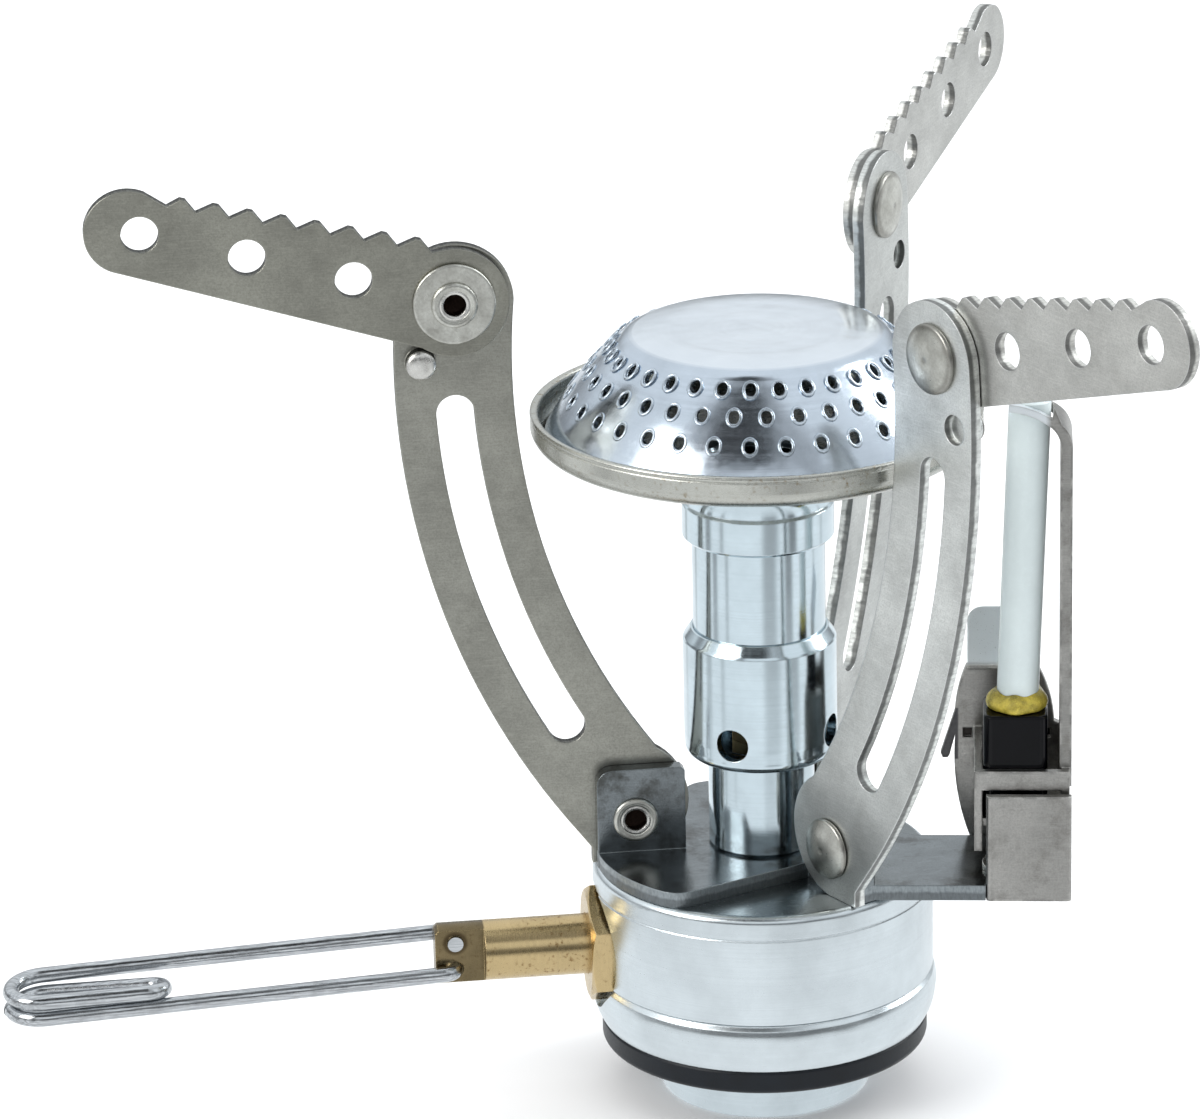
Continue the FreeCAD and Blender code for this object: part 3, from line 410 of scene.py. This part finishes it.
BY_NODE = {
    "valve_body": aluminium,
    "thread_collar": nose_metal,
    "base_ring": rubber,
    "inlet_gasket": rubber,
    "depressor_pin": brass_z,
    "inlet_filter": sintered,
    "gland_nut": brass_x,
    "spindle": spindle_brass,
    "handle_wire": wire_metal,
    "spindle_seal": rubber,
    "needle": rivet_metal,
    "jet_holder": plated,
    "jet": brass_z,
    "mixing_sleeve": plated,
    "burner_tube": plated,
    "tube_collar": plated,
    "burner_pan": pan_metal,
    "burner_cap": cap_metal,
    "base_bracket": dark_sheet,
    "igniter_housing": igniter_sheet,
    "igniter_saddle": igniter_sheet,
    "piezo_module": module_plastic,
    "potting_ring": potting,
    "ceramic_tube": ceramic,
    "electrode": wire_metal,
    "piezo_plunger": rivet_metal,
    "return_spring": wire_metal,
}
for k in ARM_ANGLES:
    BY_NODE[f"lower_arm_{k}"] = lower_steel[k]
    BY_NODE[f"toothed_arm_{k}"] = toothed_steel[k]
    BY_NODE[f"base_rivet_{k}"] = rivet_steel(f"base_rivet_steel_{k}", ARM_ANGLES[k], BASE_PIVOT)
    pivot_steel = rivet_steel(f"pivot_rivet_steel_{k}", ARM_ANGLES[k], TOP_PIVOT)
    BY_NODE[f"pivot_rivet_{k}"] = BY_NODE[f"pivot_washer_{k}"] = pivot_steel


def paint(obj, material):
    """One material all over an object."""
    obj.data.materials.clear()
    obj.data.materials.append(material)


for name, obj in nodes.items():
    paint(obj, BY_NODE[name])


# ---- pieces with finer shape than the frame ---------------------------------------------------------
def new_piece(name, points, faces, material, body, replaced=()):
    """Mesh piece from millimetre points, riding on a body."""
    mesh = bpy.data.meshes.new(name)
    mesh.from_pydata([Vector(p) * MM for p in points], [], faces)
    mesh.validate()
    mesh.polygons.foreach_set("use_smooth", [True] * len(mesh.polygons))
    mesh.set_sharp_from_angle(angle=PIECE_SHARP)
    obj = bpy.data.objects.new(name, mesh)
    bpy.context.collection.objects.link(obj)
    paint(obj, material)
    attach(obj, body)
    if replaced:
        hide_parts(*replaced)
    return obj


def ring_grid(profile, around, shape):
    """Points and faces of a closed profile carried round in steps; shape(point, step) places each."""
    points = [shape(p, k) for k in range(around) for p in profile]
    m = len(profile)
    faces = []
    for k in range(around):
        here, after = k * m, ((k + 1) % around) * m
        for i in range(m):
            beside = (i + 1) % m
            faces.append((here + i, after + i, after + beside, here + beside))
    return points, faces


def arm_point(angle, u, v, z):
    """Point of an arm's own frame, in the stove's."""
    a = math.radians(angle)
    return (u * math.cos(a) - v * math.sin(a), u * math.sin(a) + v * math.cos(a), z)


def port_lips():
    """Turned-out lip round every flame port of the cap.
    A row is the radius, height and shift of its ports and the slope of the cap's normal there."""
    rows = ((14.65, 79.4, 0.0, 44), (16.65, 77.25, 0.5, 43), (18.6, 74.85, 0.0, 36))
    per_row, first_angle = 33, 9.1
    half_width, half_height = 0.68, 0.92
    lip_width, lip_height, lift = 0.17, 0.11, 0.03
    steps, sides = 16, 6
    points, faces = [], []
    for radius, height, shift, slope in rows:
        e = math.radians(slope)
        for i in range(per_row):
            a = math.radians(first_angle + (i + shift) * 360 / per_row)
            out = Vector((math.cos(a) * math.cos(e), math.sin(a) * math.cos(e), math.sin(e)))
            side = Vector((-math.sin(a), math.cos(a), 0))
            up = out.cross(side)
            centre = Vector((radius * math.cos(a), radius * math.sin(a), height)) + out * lift
            start = len(points)
            for q in range(steps):
                t = 2 * math.pi * q / steps
                ray = side * math.cos(t) * half_width + up * math.sin(t) * half_height
                unit = ray.normalized()
                for w in range(sides):
                    c = 2 * math.pi * w / sides
                    wall = unit * lip_width * math.cos(c) + out * lip_height * math.sin(c)
                    points.append(centre + ray + wall)
            for q in range(steps):
                here, after = start + q * sides, start + ((q + 1) % steps) * sides
                for w in range(sides):
                    beside = (w + 1) % sides
                    faces.append((here + w, after + w, after + beside, here + beside))
    new_piece("port_lips", points, faces, cap_metal, "stove")


def threaded_nose():
    """The nose with a real internal thread, 28 turns to the inch."""
    pitch = 25.4 / 28
    mouth = [(5.75, 0.0), (10.1, 0.0), (10.6, 0.2), (10.8, 0.7)]
    stem = [(10.8, 7.9), (7.5, 7.9), (7.5, 12.0), (5.6, 12.0), (5.6, 6.3)]
    crest_r, bore_foot, bore_top = 5.15, 0.6, 6.0
    depth, steepness = 0.5, 2.3
    fade_top, fade_foot = 0.5, 0.35
    steps, around = 60, 96
    bore = [(crest_r, bore_top - (bore_top - bore_foot) * i / steps) for i in range(steps + 1)]

    def place(point, k):
        r, z = point
        a = 2 * math.pi * k / around
        if r == crest_r:
            phase = (z / pitch - k / around) % 1.0
            groove = max(0.0, 1 - abs(phase - 0.5) * steepness)
            fade = min(1.0, (bore_top - z) / fade_top, (z - bore_foot) / fade_foot)
            r += depth * groove * max(0.0, fade)
        return (r * math.cos(a), r * math.sin(a), z)

    points, faces = ring_grid(mouth + stem + bore, around, place)
    new_piece("threaded_nose", points, faces, nose_metal, "stove", ("thread_collar",))


def potting_bead():
    """Lumpy bead of resin that ran down over the module's edge."""
    low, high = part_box("potting_ring")
    centre = (Vector(low) + Vector(high)) / 2 * 1000
    base = low[2] * 1000
    rng = np.random.RandomState(7)
    waves, swing = 7, 0.13
    phases = rng.rand(waves) * 2 * math.pi
    tall, inner_r, lift = 1.8, 2.12, 0.06
    foot = [(inner_r, 0.0), (2.8, 0.0), (3.02, 0.25), (3.08, 0.65)]
    shoulder = [(2.95, 1.1), (2.7, 1.45), (2.4, 1.72), (inner_r, tall)]
    around = 48

    def place(point, k):
        r, z = point
        a = 2 * math.pi * k / around
        swell = sum(math.sin((n + 2) * a + phases[n]) / (n + 2) ** 0.6 for n in range(waves)) * swing
        z += swell * 0.9 * (z / tall)
        if r > inner_r:
            r += swell * 0.8
        return (centre.x + r * math.cos(a), centre.y + r * math.sin(a), base + lift + max(z, 0.0) * 0.97)

    points, faces = ring_grid(foot + shoulder, around, place)
    new_piece("potting_bead", points, faces, potting, "igniter", ("potting_ring",))


def stop_domes():
    """Rounded crown on the stop boss of each lower arm."""
    rings = [(1.5, 0.95), (1.42, 1.12), (1.15, 1.28), (0.75, 1.38), (0.35, 1.42)]
    sides = 32
    for k, angle in ARM_ANGLES.items():
        points, faces = [], []
        for r, v in rings:
            for q in range(sides):
                t = 2 * math.pi * q / sides
                u, z = STOP_BOSS[0] + r * math.cos(t), STOP_BOSS[1] + r * math.sin(t)
                points.append(arm_point(angle, u, v, z))
        for i in range(len(rings) - 1):
            for q in range(sides):
                b, c = i * sides + q, i * sides + (q + 1) % sides
                faces.append((b, b + sides, c + sides, c))
        last = (len(rings) - 1) * sides
        faces.append(tuple(last + q for q in range(sides - 1, -1, -1)))
        faces.append(tuple(range(sides)))
        new_piece(f"stop_dome_{k}", points, faces, rivet_metal, f"lower_arm_{k}")


def rolled_lips():
    """Rounded inner lip on the rolled end of every rivet."""
    stations = (("base_lip", BASE_PIVOT, BASE_TAIL_V), ("pivot_lip", TOP_PIVOT, TOP_TAIL_V))
    lip_r, wall, lift = 1.36, 0.3, 0.08
    corners = [math.pi * w / 4 for w in range(8)]
    section = [(lip_r - wall * math.cos(c), wall * math.sin(c)) for c in corners]
    around = 40
    for k, angle in ARM_ANGLES.items():
        for kind, (u0, z0), tail in stations:

            def place(point, q):
                r, rise = point
                t = 2 * math.pi * q / around
                return arm_point(angle, u0 + r * math.cos(t), tail + lift + rise, z0 + r * math.sin(t))

            points, faces = ring_grid(section, around, place)
            body = "stove" if kind == "base_lip" else f"lower_arm_{k}"
            new_piece(f"{kind}_{k}", points, faces, rivet_metal, body)


def coil_spring():
    """Return spring with closed ends and ground wire."""
    low, high = (Vector(c) * 1000 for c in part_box("return_spring"))
    wire_r, ground, nested = 0.25, 0.9, 0.96
    closed, active = 1.0, 3.5
    turns = active + 2 * closed
    centre = (low + high) / 2
    coil_r = (high.x - low.x) / 2 - wire_r
    height = high.z - low.z - 2 * wire_r
    rise = 2 * wire_r * nested
    steps_per_turn, sides = 36, 10
    steps = int(turns * steps_per_turn)
    points, faces = [], []
    for i in range(steps + 1):
        t = turns * i / steps
        if t < closed:
            z = rise * t
        elif t < closed + active:
            z = closed * rise + (height - 2 * closed * rise) * (t - closed) / active
        else:
            z = height - rise * (turns - t)
        a = 2 * math.pi * t
        out = Vector((math.cos(a), math.sin(a), 0))
        for w in range(sides):
            c = 2 * math.pi * w / sides
            lift = wire_r * max(-ground, min(ground, math.sin(c)))
            core = Vector((centre.x, centre.y, low.z + wire_r + z + lift))
            points.append(core + out * (coil_r + wire_r * math.cos(c)))
    for i in range(steps):
        for w in range(sides):
            b, c = i * sides + w, i * sides + (w + 1) % sides
            faces.append((b, c, c + sides, b + sides))
    faces.append(tuple(range(sides - 1, -1, -1)))
    faces.append(tuple(steps * sides + w for w in range(sides)))
    spring = new_piece("coil_spring", points, faces, wire_metal, "stove", ("return_spring",))
    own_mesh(spring)


port_lips()
rolled_lips()
stop_domes()
threaded_nose()
potting_bead()
coil_spring()

for obj in nodes.values():
    obj.data.polygons.foreach_set("use_smooth", [True] * len(obj.data.polygons))
    obj.data.set_sharp_from_angle(angle=NODE_SHARP)


# ---- stage, camera and light ------------------------------------------------------------------------
FLOOR_SIZE = 8.0
MIRROR_SIZE = 5.9
MIRROR_DROP = 0.0005
DOME_R = 3.0
CAMERA_PLACE = (-0.08184, -0.59404, 0.27147)
CAMERA_TURN = (-6.323, -19.679, -1.27)
CAMERA_LENS = 190.22

# A band of a glow is (azimuth, half width, darkness, lowest, highest), with angles in degrees.
# It darkens that direction between two reaches: metres from the stove on the mirror floor, and
# shares of the radius on the dome.
FLOOR_BANDS = [
    (-56, 3.5, 0.62, 0.085, 1.2), (2, 5, 0.7, 0.06, 1.2), (26, 3, 0.5, 0.06, 1.2), (134, 7, 0.75, 0.05, 1.2),
    (158, 3, 0.5, 0.08, 1.2), (-170, 3, 0.4, 0.09, 1.2), (100, 12, 0.5, 0.04, 1.2),
]
DOME_BANDS = [
    (-128, 6, 0.6, 0.1, 0.97), (-62, 7, 0.5, 0.1, 0.97), (-22, 9, 0.75, 0.0, 0.5), (12, 5, 0.6, 0.0, 0.5),
    (150, 8, 0.6, 0.0, 0.5), (-165, 6, 0.7, 0.0, 0.5), (-112, 40, 0.94, 0.7, 1.06),
    (-98, 60, 0.66, -0.02, 0.42),
]


def card(name, centre, aim, width, height, material):
    """Flat board outside the picture, facing a point."""
    mesh = bpy.data.meshes.new(name)
    w, h = width / 2, height / 2
    mesh.from_pydata([(-w, -h, 0), (w, -h, 0), (w, h, 0), (-w, h, 0)], [], [(0, 1, 2, 3)])
    obj = bpy.data.objects.new(name, mesh)
    bpy.context.collection.objects.link(obj)
    look = (Vector(aim) - Vector(centre)).normalized()
    obj.matrix_world = Matrix.Translation(centre) @ look.to_track_quat("Z", "Y").to_matrix().to_4x4()
    paint(obj, material)
    return obj


def board(name, value):
    """Matt paint of one grey with a faint grain."""
    s = Shader(name, Roughness=0.9)
    grain = s.noise(s.place, 0.02, 2.0)
    s.set(Base_Color=s.mix(grain, (value, value, value, 1), (value * 0.98, value * 0.98, value * 0.99, 1)))
    return s.material


def glow(name, bands, tint, level):
    """Emission by direction round the Z axis, darkened by bands.
    level(shader, x, y, z) gives the plain brightness and the reach that the bands are measured by."""
    s = Shader(name)
    x, y, z = s.split(s.coord.outputs["Object"])
    flat = s.vector("NORMALIZE", s.join(x, y, 0.0))
    value, reach = level(s, x, y, z)
    for azimuth, half, depth, low, high in bands:
        a = math.radians(azimuth)
        facing = s.vector("DOT_PRODUCT", flat, (math.cos(a), math.sin(a), 0))
        inner, outer = math.cos(math.radians(half * 0.55)), math.cos(math.radians(half * 1.25))
        band = s.ramp(facing, outer, inner)
        band = s.times(band, s.ramp(reach, low, low + 0.12 * (high - low)))
        band = s.times(band, s.ramp(reach, high, high - 0.2 * (high - low)))
        value = s.times(value, s.minus(1.0, s.times(band, depth)))
    lamp = s.tree.nodes.new("ShaderNodeEmission")
    lamp.inputs["Color"].default_value = tint
    s.tree.links.new(value, lamp.inputs["Strength"])
    out = next(n for n in s.tree.nodes if n.bl_idname == "ShaderNodeOutputMaterial")
    s.tree.links.new(lamp.outputs[0], out.inputs[0])
    return s.material


def only_reflected(obj):
    """The board shows only in the metal, like a flag beside the lens in a studio."""
    obj.visible_camera = False
    obj.visible_diffuse = False
    obj.visible_shadow = False
    obj.visible_transmission = False
    obj.visible_volume_scatter = False


def floor_level(s, x, y, z):
    """Brightness of the mirror floor, and the distance from the stove."""
    reach = s.vector("LENGTH", s.join(x, y, 0.0))
    cloud = s.noise(s.coord.outputs["Object"], 6.0, 2.0)
    return s.ramp(cloud, 0.3, 0.7, 1.0, 1.14), reach


def dome_level(s, x, y, z):
    """Brightness of the dome, and its height as a share of the radius."""
    rise = s.math("DIVIDE", z, DOME_R)
    low = s.ramp(rise, 0.05, 0.34, 0.3, 1.0)
    return s.plus(low, s.ramp(rise, 0.55, 0.95, 0.0, 0.1)), rise


def make_dome():
    """Half sphere round the stage that only the metal sees."""
    rows, columns = 12, 48
    points = [(0, 0, DOME_R)]
    for i in range(1, rows + 1):
        e = math.radians(90 - 90 * i / rows)
        ring = DOME_R * math.cos(e)
        for k in range(columns):
            a = 2 * math.pi * k / columns
            points.append((ring * math.cos(a), ring * math.sin(a), DOME_R * math.sin(e)))
    faces = [(0, 1 + k, 1 + (k + 1) % columns) for k in range(columns)]
    for i in range(rows - 1):
        for k in range(columns):
            a, b = 1 + i * columns + k, 1 + i * columns + (k + 1) % columns
            faces.append((a, a + columns, b + columns, b))
    mesh = bpy.data.meshes.new("surround")
    mesh.from_pydata(points, [], faces)
    obj = bpy.data.objects.new("surround", mesh)
    bpy.context.collection.objects.link(obj)
    paint(obj, glow("surround", DOME_BANDS, (0.93, 0.97, 1, 1), dome_level))
    only_reflected(obj)


up_axis = (0, 0, 1)
floor = card("floor", (0, 0, 0), up_axis, FLOOR_SIZE, FLOOR_SIZE, board("pale_floor", 0.93))
floor.visible_glossy = False
floor_glow = glow("mirror_floor", FLOOR_BANDS, (0.95, 0.98, 1, 1), floor_level)
mirror_floor = card("mirror_floor", (0, 0, -MIRROR_DROP), up_axis, MIRROR_SIZE, MIRROR_SIZE, floor_glow)
only_reflected(mirror_floor)
make_dome()

camera_data = bpy.data.cameras.new("camera")
camera_data.sensor_fit = "HORIZONTAL"
camera_data.sensor_width = 36.0
camera_data.lens = CAMERA_LENS
camera_data.clip_start = 0.01
camera_data.clip_end = 20.0
camera = bpy.data.objects.new("camera", camera_data)
bpy.context.collection.objects.link(camera)
yaw, pitch, roll = (math.radians(a) for a in CAMERA_TURN)
forward = Vector((-math.sin(yaw) * math.cos(pitch), math.cos(yaw) * math.cos(pitch), math.sin(pitch)))
level = Vector((math.cos(yaw), math.sin(yaw), 0))
upward = level.cross(forward)
right = math.cos(roll) * level + math.sin(roll) * upward
up = math.cos(roll) * upward - math.sin(roll) * level
turn = Matrix((right, up, -forward)).transposed().to_4x4()
camera.matrix_world = Matrix.Translation(CAMERA_PLACE) @ turn
bpy.context.scene.camera = camera


def area(name, place, aim, width, height, power, colour):
    """Rectangular lamp at a place, turned to a point."""
    light = bpy.data.lights.new(name, "AREA")
    light.shape = "RECTANGLE"
    light.size = width
    light.size_y = height
    light.energy = power
    light.color = colour
    obj = bpy.data.objects.new(name, light)
    bpy.context.collection.objects.link(obj)
    look = (Vector(aim) - Vector(place)).normalized()
    obj.matrix_world = Matrix.Translation(place) @ look.to_track_quat("-Z", "Y").to_matrix().to_4x4()
    return obj


target = (0, 0, 0.05)
area("key_left", (-0.75, -0.35, 0.55), target, 0.5, 0.6, 4.0, (1.0, 0.99, 0.97))
area("top", (0.05, 0.1, 0.95), target, 0.9, 0.7, 3.0, (1, 1, 1)).visible_glossy = False
area("rim_right", (0.7, 0.15, 0.45), target, 0.25, 0.6, 2.5, (0.95, 0.98, 1.0))

world = bpy.data.worlds.new("studio")
bpy.context.scene.world = world
world.use_nodes = True
world.node_tree.nodes.clear()
back = world.node_tree.nodes.new("ShaderNodeBackground")
world_out = world.node_tree.nodes.new("ShaderNodeOutputWorld")
world.node_tree.links.new(back.outputs[0], world_out.inputs[0])
back.inputs["Color"].default_value = (0.97, 0.985, 1.0, 1.0)
back.inputs["Strength"].default_value = 1.0
bpy.context.scene.view_settings.view_transform = "Standard"
